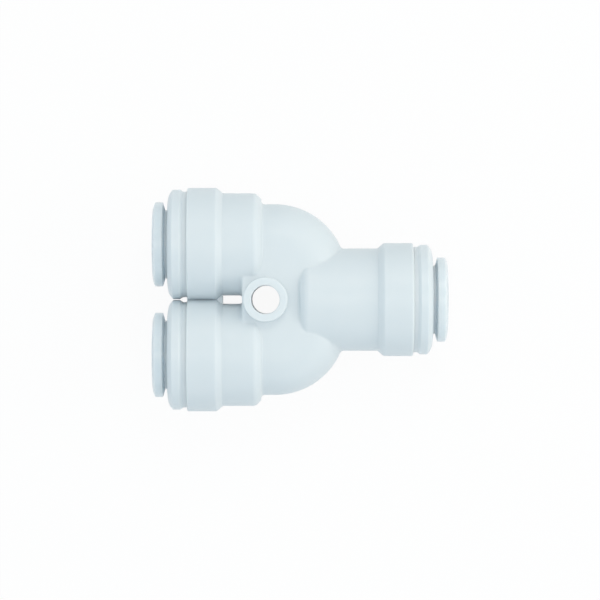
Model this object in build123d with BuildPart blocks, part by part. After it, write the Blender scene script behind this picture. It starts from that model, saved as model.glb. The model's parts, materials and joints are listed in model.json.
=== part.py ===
from build123d import *
from math import cos, radians, sin, tan
import os

# Push-in Y connector for plastic tube: two parallel outlets and one inlet. Millimetres.
# Origin: centre of the fixing hole, on the plane that holds the axes of the three ports.
# +X points out of the inlet, +Y towards outlet_1, +Z up through the fixing hole.
# Depths in a port are measured from its collar's mouth: + is out of the port, - is into it.

# tube that the ports take
tube_od = 9.525
tube_clearance = 0.11            # radial, in the collet's bore
seat_clearance = 0.09            # radial, in the body's tube seat

# outside of a port
collar_od = 20.0
collar_length = 6.3              # mouth to the foot of the shoulder
shoulder_length = 1.1            # of its slope
barrel_od = 18.1
barrel_chamfer = 1.0
edge_round = 0.3                 # moulded radius on tight outside edges
shoulder_round = 0.6             # on the crest of the shoulder
barrel_end_round = 1.2           # on the crest of the barrel's end
port_pitch = 19.56               # between the two outlet axes

# inside of a port
spigot_length = 4.5              # how deep the cap goes into the collar
spigot_clearance = 0.02          # radial, drawn for the press fit
spigot_end_gap = 0.3
collar_wall = 1.6
ring_seat_length = 2.6
tube_stop_depth = 13.4
waterway_od = 7.2
lead_in = 0.3                    # chamfers that guide the ring and the tube

# places along X
outlet_mouth_x = -13.9
outlet_barrel_end_x = -0.8
inlet_mouth_x = 26.05
inlet_barrel_end_x = 6.1

# bends, web and boss: the web is as thick as the bends, so it is flush with their crests
bend_od = 14.2
bend_radius = 5.57               # of the centreline
bend_start_x = 1.65
web_end_x = -4.1
crease_round = 0.6               # in the corners where bends and web meet the barrels
boss_od = 7.8
boss_height = 18.0
boss_edge_round = 0.15
fixing_hole_od = 5.0
bridge_height = 4.0              # fills between the outlet collars, to the feet of their shoulders

# end cap
cap_od = 19.4
cap_proud = 3.4                  # stands out of the collar
groove_od = 18.7
groove_width = 0.75
groove_slope = 0.5
cap_dome_depth = 0.9             # domed outer corner, along the axis
cap_dome_width = 2.0             # and along the radius
neck_clearance = 0.08            # radial, between the cap's bore and the collet's neck
cap_bore_length = 1.5
cam_angle = 16.0                 # half angle of the cone that closes the fingers
cam_depth = 1.35                 # radial, from the neck to the cone's wide end

# collet
neck_od = 12.1
flange_od = 14.9
flange_gap = 0.5                 # cap's face to the root of the flange
flange_back = 0.4                # axial rise of the flange's conical back
flange_rim = 1.35
flange_dome_depth = 0.45
flange_dome_width = 1.75
collet_mouth = 0.6               # chamfer at the mouth of the bore
collet_length = 10.35
finger_count = 6
finger_slot = 0.9
finger_root_depth = 2.2          # the slots stop this far below the cap's face
head_clearance = 0.35            # radial, finger heads to the cam at rest
head_length = 2.4
head_chamfer = 0.4
relief_depth = 0.45              # the bore widens by this behind its smooth stretch
relief_length = 2.9

# steel teeth, one in each finger
tooth_thickness = 0.3
tooth_width = 1.8
tooth_bite = 0.3                 # how far the edge reaches inside the tube's surface
tooth_lean = 38.0                # from the radial direction, towards the tube stop
tooth_root_rise = 0.19           # radial, from the neck's surface to the strip's root
tooth_tip_height = 1.55          # above the collet's inner end

# O-ring
ring_section = 2.0
ring_squeeze = 0.25              # radial, on the tube
ring_clearance = 0.02            # to its seat's wall and floor

# values that follow from the ones above
tube_r = tube_od / 2
collar_r = collar_od / 2
barrel_r = barrel_od / 2
bend_r = bend_od / 2
outlet_y = port_pitch / 2
bend_y = outlet_y - bend_radius
cross_x = bend_start_x + bend_radius
boss_half = boss_height / 2
seat_r = tube_r + seat_clearance
waterway_r = waterway_od / 2
ring_bore_r = tube_r - ring_squeeze
ring_seat_r = ring_bore_r + ring_section + ring_clearance
spigot_r = collar_r - collar_wall
spigot_seat_depth = spigot_length + spigot_end_gap
ring_seat_depth = spigot_seat_depth + ring_seat_length
cap_r = cap_od / 2
groove_r = groove_od / 2
neck_r = neck_od / 2
cap_bore_r = neck_r + neck_clearance
cam_r = neck_r + cam_depth
cam_start = cap_proud - cap_bore_length
cam_slope = tan(radians(cam_angle))
flange_r = flange_od / 2
flange_root = cap_proud + flange_gap
flange_front = flange_root + flange_back + flange_rim + flange_dome_depth
collet_end = flange_front - collet_length
collet_bore_r = tube_r + tube_clearance
relief_r = collet_bore_r + relief_depth
tooth_tip_r = tube_r - tooth_bite
tooth_length = (neck_r + tooth_root_rise - tooth_tip_r) / cos(radians(tooth_lean))
finger_pitch = 360 / finger_count

# A port's plane lies in its mouth: x out along the port's axis, y along a radius.
ports = {
    "inlet": Plane(origin=(inlet_mouth_x, 0, 0), x_dir=(1, 0, 0), z_dir=(0, 0, 1)),
    "outlet_1": Plane(origin=(outlet_mouth_x, outlet_y, 0), x_dir=(-1, 0, 0), z_dir=(0, 0, 1)),
    "outlet_2": Plane(origin=(outlet_mouth_x, -outlet_y, 0), x_dir=(-1, 0, 0), z_dir=(0, 0, 1)),
}
barrel_end = {
    "inlet": inlet_barrel_end_x - inlet_mouth_x,
    "outlet_1": outlet_mouth_x - outlet_barrel_end_x,
    "outlet_2": outlet_mouth_x - outlet_barrel_end_x,
}
waterway_end = {
    "inlet": cross_x - inlet_mouth_x,
    "outlet_1": outlet_mouth_x - bend_start_x,
    "outlet_2": outlet_mouth_x - bend_start_x,
}


def port_axis(port):
    return Axis(ports[port].origin, ports[port].x_dir)


def finger_plane(port, turns):
    """The port's plane turned about the port's axis, to a finger or to the slot beside it."""
    return ports[port].rotated((turns * finger_pitch, 0, 0))


def tooth_outline():
    """Corners of a tooth: a leaning strip with a chisel edge that reaches into the bore."""
    lean = radians(tooth_lean)
    along = Vector(sin(lean), cos(lean))
    across = Vector(cos(lean), -sin(lean)) * tooth_thickness
    tip = Vector(collet_end + tooth_tip_height, tooth_tip_r)
    root = tip + along * tooth_length
    return [tip, root, root + across, tip + across + along * tooth_thickness]


# section of a bend, from its axis: flat to the centreline, then a half round
with BuildSketch() as bend_section:
    with BuildLine():
        Polyline((bend_radius, bend_r), (0, bend_r), (0, -bend_r), (bend_radius, -bend_r))
        ThreePointArc((bend_radius, -bend_r), (bend_radius + bend_r, 0), (bend_radius, bend_r))
    make_face()

# fork: necks and web in one oblong section, and the two bends with the tube across
with BuildPart() as fork:
    with BuildSketch(Plane.YZ.offset(web_end_x)):
        SlotCenterToCenter(port_pitch, bend_od)
    extrude(amount=bend_start_x - web_end_x)
    fillet(faces().sort_by(Axis.X)[0].edges(), edge_round)

    for side in (1, -1):
        bend_centre = (bend_start_x, side * bend_y, 0)
        bend_axis = Axis(bend_centre, (0, 0, -side))
        with BuildSketch(Plane(origin=bend_centre, x_dir=(0, side, 0), z_dir=(1, 0, 0))):
            add(bend_section.sketch)
        revolve(axis=bend_axis, revolution_arc=90)

    with BuildSketch(Plane(origin=(bend_start_x, 0, 0), x_dir=(1, 0, 0), z_dir=(0, 1, 0))):
        add(bend_section.sketch)
    extrude(amount=bend_y, both=True)

# body: arms, bridge, fork and boss, then everything hollow
with BuildPart() as body:
    for port, plane in ports.items():
        end = barrel_end[port]
        with BuildSketch(plane):
            with BuildLine():
                FilletPolyline(
                    (0, 0),
                    (0, collar_r),
                    (shoulder_length - collar_length, collar_r),
                    (-collar_length, barrel_r),
                    (end + barrel_chamfer, barrel_r),
                    (end, barrel_r - barrel_chamfer),
                    (end, 0),
                    radius=[edge_round, shoulder_round, edge_round, barrel_end_round, edge_round],
                )
                Line((end, 0), (0, 0))
            make_face()
        revolve(axis=port_axis(port))

    with BuildSketch(Plane.XY):
        with Locations((outlet_mouth_x + collar_length, 0)):
            Rectangle(collar_length / 2, port_pitch, align=(Align.MAX, Align.CENTER))
    extrude(amount=bridge_height / 2, both=True)

    add(fork.part)
    creases = edges(Select.NEW).filter_by_position(
        Axis.X, web_end_x, inlet_mouth_x, inclusive=(False, True)
    )
    fillet(creases, crease_round)

    with BuildSketch(Plane.XY):
        Circle(boss_od / 2)
    extrude(amount=boss_half, both=True)

    for port, plane in ports.items():
        with BuildSketch(plane):
            with BuildLine():
                Polyline(
                    (0, 0),
                    (0, spigot_r + spigot_clearance),
                    (-spigot_seat_depth, spigot_r + spigot_clearance),
                    (-spigot_seat_depth, ring_seat_r + lead_in),
                    (-spigot_seat_depth - lead_in, ring_seat_r),
                    (-ring_seat_depth, ring_seat_r),
                    (-ring_seat_depth, seat_r + lead_in),
                    (-ring_seat_depth - lead_in, seat_r),
                    (-tube_stop_depth, seat_r),
                    (-tube_stop_depth, waterway_r),
                    (waterway_end[port], waterway_r),
                    (waterway_end[port], 0),
                    close=True,
                )
            make_face()
        revolve(axis=port_axis(port), mode=Mode.SUBTRACT)

    for side in (1, -1):
        bend_centre = (bend_start_x, side * bend_y, 0)
        bend_axis = Axis(bend_centre, (0, 0, -side))
        with BuildSketch(Plane(origin=bend_centre, x_dir=(0, side, 0), z_dir=(1, 0, 0))):
            with Locations((bend_radius, 0)):
                Circle(waterway_r)
        revolve(axis=bend_axis, revolution_arc=90, mode=Mode.SUBTRACT)

    with BuildSketch(Plane(origin=(cross_x, 0, 0), z_dir=(0, 1, 0))):
        Circle(waterway_r)
    extrude(amount=bend_y, both=True, mode=Mode.SUBTRACT)

    with BuildSketch(Plane.XY):
        Circle(fixing_hole_od / 2)
    extrude(amount=boss_half, both=True, mode=Mode.SUBTRACT)

    boss_faces = faces().filter_by(Plane.XY)
    boss_ends = boss_faces.sort_by(Axis.Z)[-1].edges() + boss_faces.sort_by(Axis.Z)[0].edges()
    fillet(boss_ends, boss_edge_round)


def end_cap(port):
    """Ring pressed into the collar: spigot, groove, domed corner, bore and cam cone."""
    with BuildPart() as cap:
        with BuildSketch(ports[port]):
            with BuildLine():
                face_r = cap_r - cap_dome_width
                Polyline(
                    (cap_proud, face_r),
                    (cap_proud, cap_bore_r + lead_in),
                    (cap_proud - lead_in, cap_bore_r),
                    (cam_start, cap_bore_r),
                    (cam_start - (cam_r - cap_bore_r) / cam_slope, cam_r),
                    (-spigot_length, cam_r),
                    (-spigot_length, spigot_r - lead_in),
                    (lead_in - spigot_length, spigot_r),
                    (0, spigot_r),
                    (0, groove_r),
                    (groove_width, groove_r),
                    (groove_width + groove_slope, cap_r),
                    (cap_proud - cap_dome_depth, cap_r),
                )
                TangentArc(
                    (cap_proud, face_r),
                    (cap_proud - cap_dome_depth, cap_r),
                    tangent=(0, 1),
                )
            make_face()
        revolve(axis=port_axis(port))
    return cap


def collet(port):
    """Release sleeve: domed flange, neck, and sprung fingers with heads that the cam closes."""
    head_start = cam_start - (neck_r - cap_bore_r + head_clearance) / cam_slope
    head_front = collet_end + head_length
    head_r = neck_r + (head_start - head_front) * cam_slope
    with BuildPart() as sleeve:
        with BuildSketch(ports[port]):
            with BuildLine():
                face_r = flange_r - flange_dome_width
                Polyline(
                    (flange_front, face_r),
                    (flange_front, collet_bore_r + collet_mouth),
                    (flange_front - collet_mouth, collet_bore_r),
                    (collet_end + relief_length, collet_bore_r),
                    (collet_end + relief_length - relief_depth, relief_r),
                    (collet_end, relief_r),
                    (collet_end, head_r - head_chamfer),
                    (collet_end + head_chamfer, head_r),
                    (head_front, head_r),
                    (head_start, neck_r),
                    (flange_root, neck_r),
                    (flange_root + flange_back, flange_r),
                    (flange_front - flange_dome_depth, flange_r),
                )
                TangentArc(
                    (flange_front, face_r),
                    (flange_front - flange_dome_depth, flange_r),
                    tangent=(0, 1),
                )
            make_face()
        revolve(axis=port_axis(port))
        slot_root = cap_proud - finger_root_depth - finger_slot / 2
        for finger in range(finger_count):
            turned = finger_plane(port, finger + 0.5)
            with BuildSketch(Plane(origin=turned.origin, x_dir=turned.x_dir, z_dir=turned.y_dir)):
                with Locations((slot_root, 0)):
                    Circle(finger_slot / 2)
                    Rectangle(collet_length, finger_slot, align=(Align.MAX, Align.CENTER))
            extrude(amount=flange_r, mode=Mode.SUBTRACT)
        for finger in range(finger_count):
            with BuildSketch(finger_plane(port, finger)):
                with BuildLine():
                    Polyline(*tooth_outline(), close=True)
                make_face()
            extrude(amount=tooth_width / 2, both=True, mode=Mode.SUBTRACT)
    return sleeve


def tooth(port, finger):
    """Steel strip moulded into a finger's head."""
    with BuildPart() as strip:
        with BuildSketch(finger_plane(port, finger)):
            with BuildLine():
                Polyline(*tooth_outline(), close=True)
            make_face()
        extrude(amount=tooth_width / 2, both=True)
    return strip


def o_ring(port):
    """Ring on the floor of its seat, squeezed by the tube."""
    with BuildPart() as ring:
        with BuildSketch(ports[port]):
            ring_place = ring_section / 2 + ring_clearance - ring_seat_depth
            with Locations((ring_place, ring_bore_r + ring_section / 2)):
                Circle(ring_section / 2)
        revolve(axis=port_axis(port))
    return ring


pieces = {"body": body}
for port in ports:
    pieces[f"{port}_cap"] = end_cap(port)
    pieces[f"{port}_collet"] = collet(port)
    pieces[f"{port}_o_ring"] = o_ring(port)
    for finger in range(finger_count):
        pieces[f"{port}_tooth_{finger + 1}"] = tooth(port, finger)

os.makedirs("parts", exist_ok=True)
for name, piece in pieces.items():
    piece.part.label = name
    export_step(piece.part, f"parts/{name}.step")
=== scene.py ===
import bpy
import json
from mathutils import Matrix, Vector


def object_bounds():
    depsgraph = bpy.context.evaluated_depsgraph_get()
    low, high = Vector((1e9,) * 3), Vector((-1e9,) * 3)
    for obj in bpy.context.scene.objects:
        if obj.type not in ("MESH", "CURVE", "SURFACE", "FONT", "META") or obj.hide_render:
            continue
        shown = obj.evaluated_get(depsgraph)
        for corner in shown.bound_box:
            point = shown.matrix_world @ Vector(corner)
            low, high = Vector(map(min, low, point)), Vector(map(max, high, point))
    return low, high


# Push-in Y connector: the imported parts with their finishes, a floor, lamps and a camera.
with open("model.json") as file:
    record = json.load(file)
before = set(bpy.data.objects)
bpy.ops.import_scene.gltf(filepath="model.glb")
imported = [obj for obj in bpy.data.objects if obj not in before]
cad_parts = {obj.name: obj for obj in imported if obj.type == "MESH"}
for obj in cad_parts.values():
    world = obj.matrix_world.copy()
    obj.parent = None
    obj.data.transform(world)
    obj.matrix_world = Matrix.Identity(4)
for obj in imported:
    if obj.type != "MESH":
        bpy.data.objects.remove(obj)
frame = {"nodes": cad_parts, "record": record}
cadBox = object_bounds()
mm = 0.001  # in metres
scene = bpy.context.scene
scene.view_settings.view_transform = "Standard"
print("frame loaded:", len(frame["nodes"]), "parts")


# a hex colour such as "#dfe8ec" as linear red, green, blue and alpha, by the sRGB curve
def linearColour(hexCode):
    shares = [int(hexCode[i:i + 2], 16) / 255 for i in (1, 3, 5)]
    linear = [s / 12.92 if s <= 0.04045 else ((s + 0.055) / 1.055) ** 2.4 for s in shares]
    return linear + [1.0]


# adds one node; settings are its properties and sockets are its inputs, where a value that is
# another node's output becomes a link
def addNode(tree, kind, settings=None, sockets=None):
    node = tree.nodes.new(kind)
    for name, value in (settings or {}).items():
        setattr(node, name, value)
    for name, value in (sockets or {}).items():
        if isinstance(value, bpy.types.NodeSocket):
            tree.links.new(value, node.inputs[name])
        else:
            node.inputs[name].default_value = value
    return node


def emptyMaterial(name):
    material = bpy.data.materials.new(name)
    material.use_nodes = True
    material.node_tree.nodes.clear()
    return material, material.node_tree


# gives a material to every part that the record lists under this slot
def finishParts(material, slotName):
    slotOf = {s["node"]: s["material_slot"] for s in frame["record"]["subparts"]}
    for name, part in frame["nodes"].items():
        if slotOf[name] == slotName:
            for slot in part.material_slots:
                slot.material = material


# Moulded plastic: two close colours in soft clouds, as the melt flows, a slow waviness where the
# walls shrink, a spark-eroded grain as a low bump, and light that goes a little way in.
def mouldedPlastic(name, look):
    material, tree = emptyMaterial(name)
    place = addNode(tree, "ShaderNodeTexCoord").outputs["Object"]
    clouds = addNode(tree, "ShaderNodeTexNoise", sockets={
        "Vector": place, "Scale": 1 / (look["cloudMm"] * mm), "Detail": 3.0, "Roughness": 0.5})
    tint = addNode(tree, "ShaderNodeMix", {"data_type": "RGBA"}, {
        "Factor": clouds.outputs["Fac"],
        "A": linearColour(look["colour"]), "B": linearColour(look["cloudColour"])})
    grain = addNode(tree, "ShaderNodeTexNoise", sockets={
        "Vector": place, "Scale": 1 / (look["grainMm"] * mm), "Detail": 2.0, "Roughness": 0.6})
    # nearly all of the grain's values lie from 0.3 to 0.7, and move the roughness by its spread
    dull = addNode(tree, "ShaderNodeMapRange", sockets={
        "Value": grain.outputs["Fac"], "From Min": 0.3, "From Max": 0.7,
        "To Min": look["roughness"] - look["roughnessSpread"],
        "To Max": look["roughness"] + look["roughnessSpread"]})
    wave = addNode(tree, "ShaderNodeTexNoise", sockets={
        "Vector": place, "Scale": 1 / (look["waveMm"] * mm), "Detail": 0.0})
    sink = addNode(tree, "ShaderNodeBump", sockets={
        "Height": wave.outputs["Fac"], "Strength": look["waveStrength"],
        "Distance": look["waveDepthMm"] * mm})
    bump = addNode(tree, "ShaderNodeBump", sockets={
        "Height": grain.outputs["Fac"], "Strength": look["grainStrength"],
        "Distance": look["grainDepthMm"] * mm, "Normal": sink.outputs["Normal"]})
    shader = addNode(tree, "ShaderNodeBsdfPrincipled", sockets={
        "Base Color": tint.outputs["Result"], "Roughness": dull.outputs["Result"],
        "Normal": bump.outputs["Normal"], "IOR": look["ior"], "Subsurface Weight": look["glow"],
        "Subsurface Scale": look["glowMm"] * mm, "Subsurface Radius": (1.0, 1.0, 1.0)})
    addNode(tree, "ShaderNodeOutputMaterial", sockets={"Surface": shader.outputs["BSDF"]})
    return material


# white polypropylene, moulded in a spark-eroded tool: milky, half matt, a little blue
bodyLook = {
    "colour": "#e1e8ec", "cloudColour": "#dce5ea", "cloudMm": 6.0,
    "grainMm": 0.3, "grainStrength": 0.25, "grainDepthMm": 0.02,  # coarser than real, to show
    "waveMm": 3.5, "waveStrength": 0.5, "waveDepthMm": 0.1,
    "roughness": 0.42, "roughnessSpread": 0.04, "ior": 1.49,
    "glow": 0.6, "glowMm": 1.0,  # the share of the light that goes in, and how far
}
finishParts(mouldedPlastic("polypropyleneBody", bodyLook), "body_plastic")

# the caps are the same polypropylene from a polished tool, so smoother and a little shinier
capLook = dict(bodyLook, grainStrength=0.06, roughness=0.36)
finishParts(mouldedPlastic("polypropyleneCap", capLook), "cap_plastic")

# acetal collets: denser and smoother than the body, with a waxy shine
colletLook = dict(
    bodyLook, colour="#dfe7eb", cloudColour="#dae3e9", grainStrength=0.04,
    roughness=0.3, ior=1.48, glow=0.9, glowMm=1.6)
finishParts(mouldedPlastic("acetalCollet", colletLook), "collet_plastic")
print("plastics done")

# moulded rubber: nearly black, dull, with a fine dusty mottle
rubberLook = {
    "colour": "#17181a", "dustColour": "#26272a",
    "dustMm": 0.35, "dustStrength": 0.1, "dustDepthMm": 0.01,
    "roughness": 0.55, "ior": 1.52,
}


def mouldedRubber(name, look):
    material, tree = emptyMaterial(name)
    place = addNode(tree, "ShaderNodeTexCoord").outputs["Object"]
    dust = addNode(tree, "ShaderNodeTexNoise", sockets={
        "Vector": place, "Scale": 1 / (look["dustMm"] * mm), "Detail": 4.0})
    tint = addNode(tree, "ShaderNodeMix", {"data_type": "RGBA"}, {
        "Factor": dust.outputs["Fac"],
        "A": linearColour(look["colour"]), "B": linearColour(look["dustColour"])})
    bump = addNode(tree, "ShaderNodeBump", sockets={
        "Height": dust.outputs["Fac"], "Strength": look["dustStrength"],
        "Distance": look["dustDepthMm"] * mm})
    shader = addNode(tree, "ShaderNodeBsdfPrincipled", sockets={
        "Base Color": tint.outputs["Result"], "Roughness": look["roughness"], "IOR": look["ior"],
        "Normal": bump.outputs["Normal"]})
    addNode(tree, "ShaderNodeOutputMaterial", sockets={"Surface": shader.outputs["BSDF"]})
    return material


finishParts(mouldedRubber("nitrileRubber", rubberLook), "seal_rubber")

# stainless strip, rolled: bright grey, with the rolling lines along the port
steelLook = {
    "colour": "#b9b8b3", "lineColour": "#9d9c98",
    "lineMm": 0.08, "lineSqueeze": 0.06,  # a line's length is its width over this
    "roughness": 0.28,
}


def rolledSteel(name, look):
    material, tree = emptyMaterial(name)
    place = addNode(tree, "ShaderNodeTexCoord").outputs["Object"]
    stretch = addNode(tree, "ShaderNodeMapping", sockets={
        "Vector": place, "Scale": (look["lineSqueeze"], 1.0, 1.0)})
    lines = addNode(tree, "ShaderNodeTexNoise", sockets={
        "Vector": stretch.outputs["Vector"], "Scale": 1 / (look["lineMm"] * mm), "Detail": 2.0})
    tint = addNode(tree, "ShaderNodeMix", {"data_type": "RGBA"}, {
        "Factor": lines.outputs["Fac"],
        "A": linearColour(look["colour"]), "B": linearColour(look["lineColour"])})
    shader = addNode(tree, "ShaderNodeBsdfPrincipled", sockets={
        "Base Color": tint.outputs["Result"], "Metallic": 1.0, "Roughness": look["roughness"]})
    addNode(tree, "ShaderNodeOutputMaterial", sockets={"Surface": shader.outputs["BSDF"]})
    return material


finishParts(rolledSteel("stainlessStrip", steelLook), "tooth_steel")
print("seals and teeth done")

# floor: a flat sheet under the collars, white to the eye, that keeps a faint soft shadow
floorLook = {
    "half": 1.2,  # half its side, in metres
    "colour": "#e6e8e9", "eyeColour": "#ffffff", "eyeStrength": 1.01, "shadowShare": 0.08,
}


# 1 for rays that show the background, straight, in gloss or through glass; 0 for those that light
def backgroundRay(tree):
    rays = addNode(tree, "ShaderNodeLightPath")
    first = addNode(tree, "ShaderNodeMath", {"operation": "MAXIMUM"}, {
        0: rays.outputs["Is Camera Ray"], 1: rays.outputs["Is Glossy Ray"]})
    both = addNode(tree, "ShaderNodeMath", {"operation": "MAXIMUM"}, {
        0: first.outputs[0], 1: rays.outputs["Is Transmission Ray"]})
    return both.outputs[0]


def makeFloor(look):
    half = look["half"]
    height = cadBox[0].z
    corners = [(-half, -half, height), (half, -half, height),
               (half, half, height), (-half, half, height)]
    mesh = bpy.data.meshes.new("floor")
    mesh.from_pydata(corners, [], [(0, 1, 2, 3)])
    floor = bpy.data.objects.new("floor", mesh)
    scene.collection.objects.link(floor)
    material, tree = emptyMaterial("paperSweep")
    sheet = addNode(tree, "ShaderNodeBsdfDiffuse", sockets={
        "Color": linearColour(look["colour"])})
    glow = addNode(tree, "ShaderNodeEmission", sockets={
        "Color": linearColour(look["eyeColour"]), "Strength": look["eyeStrength"]})
    seen = addNode(tree, "ShaderNodeMath", {"operation": "MULTIPLY"}, {
        0: backgroundRay(tree), 1: 1 - look["shadowShare"]})
    mixed = addNode(tree, "ShaderNodeMixShader", sockets={
        0: seen.outputs[0], 1: sheet.outputs["BSDF"], 2: glow.outputs["Emission"]})
    addNode(tree, "ShaderNodeOutputMaterial", sockets={"Surface": mixed.outputs["Shader"]})
    mesh.materials.append(material)


makeFloor(floorLook)

# the world is white to the eye and a dimmer soft light on the object
worldLook = {
    "colour": "#edf9ff", "strength": 0.75, "eyeColour": "#ffffff", "eyeStrength": 1.0,
}


def makeWorld(look):
    world = bpy.data.worlds.new("studio")
    world.use_nodes = True
    tree = world.node_tree
    tree.nodes.clear()
    soft = addNode(tree, "ShaderNodeBackground", sockets={
        "Color": linearColour(look["colour"]), "Strength": look["strength"]})
    white = addNode(tree, "ShaderNodeBackground", sockets={
        "Color": linearColour(look["eyeColour"]), "Strength": look["eyeStrength"]})
    mixed = addNode(tree, "ShaderNodeMixShader", sockets={
        0: backgroundRay(tree), 1: soft.outputs["Background"], 2: white.outputs["Background"]})
    addNode(tree, "ShaderNodeOutputWorld", sockets={"Surface": mixed.outputs["Shader"]})
    scene.world = world


makeWorld(worldLook)

# lamps: square soft boxes that face the middle of the part; metres and watts
lampLook = {
    "top": {"place": (0.006, 0.0, 0.66), "size": 0.1, "power": 0.38, "colour": "#fff2e2"},
    "key": {"place": (0.07, 0.27, 0.31), "size": 0.15, "power": 0.26, "colour": "#fff2e2"},
    "right": {"place": (0.4, 0.0, 0.19), "size": 0.25, "power": 0.5, "colour": "#fff2e2"},
    "left": {"place": (-0.41, 0.0, 0.15), "size": 0.25, "power": 0.08, "colour": "#ffffff"},
    "front": {"place": (0.0, -0.41, 0.15), "size": 0.25, "power": 0.1, "colour": "#ffffff"},
}


def makeLamp(name, look):
    light = bpy.data.lights.new(name, "AREA")
    light.size = look["size"]
    light.energy = look["power"]
    light.color = linearColour(look["colour"])[:3]
    lamp = bpy.data.objects.new(name, light)
    lamp.location = look["place"]
    lamp.rotation_euler = (-Vector(look["place"])).to_track_quat("-Z", "Y").to_euler()
    scene.collection.objects.link(lamp)


for lampName, look in lampLook.items():
    makeLamp(lampName, look)
print("stage done")

# camera: a long lens straight above the part; aim and distance in metres, the rest in mm
cameraLook = {
    "aim": (0.00605, -0.00007), "distance": 0.62, "lens": 210.0, "sensor": 36.0,
    "clipRatio": 10,  # it sees from the distance over this to the distance times this
}


def makeCamera(look):
    data = bpy.data.cameras.new("camera")
    data.lens = look["lens"]
    data.sensor_width = look["sensor"]
    data.clip_start = look["distance"] / look["clipRatio"]
    data.clip_end = look["distance"] * look["clipRatio"]
    camera = bpy.data.objects.new("camera", data)
    camera.location = (*look["aim"], look["distance"])
    scene.collection.objects.link(camera)
    scene.camera = camera


makeCamera(cameraLook)

print("scene done")
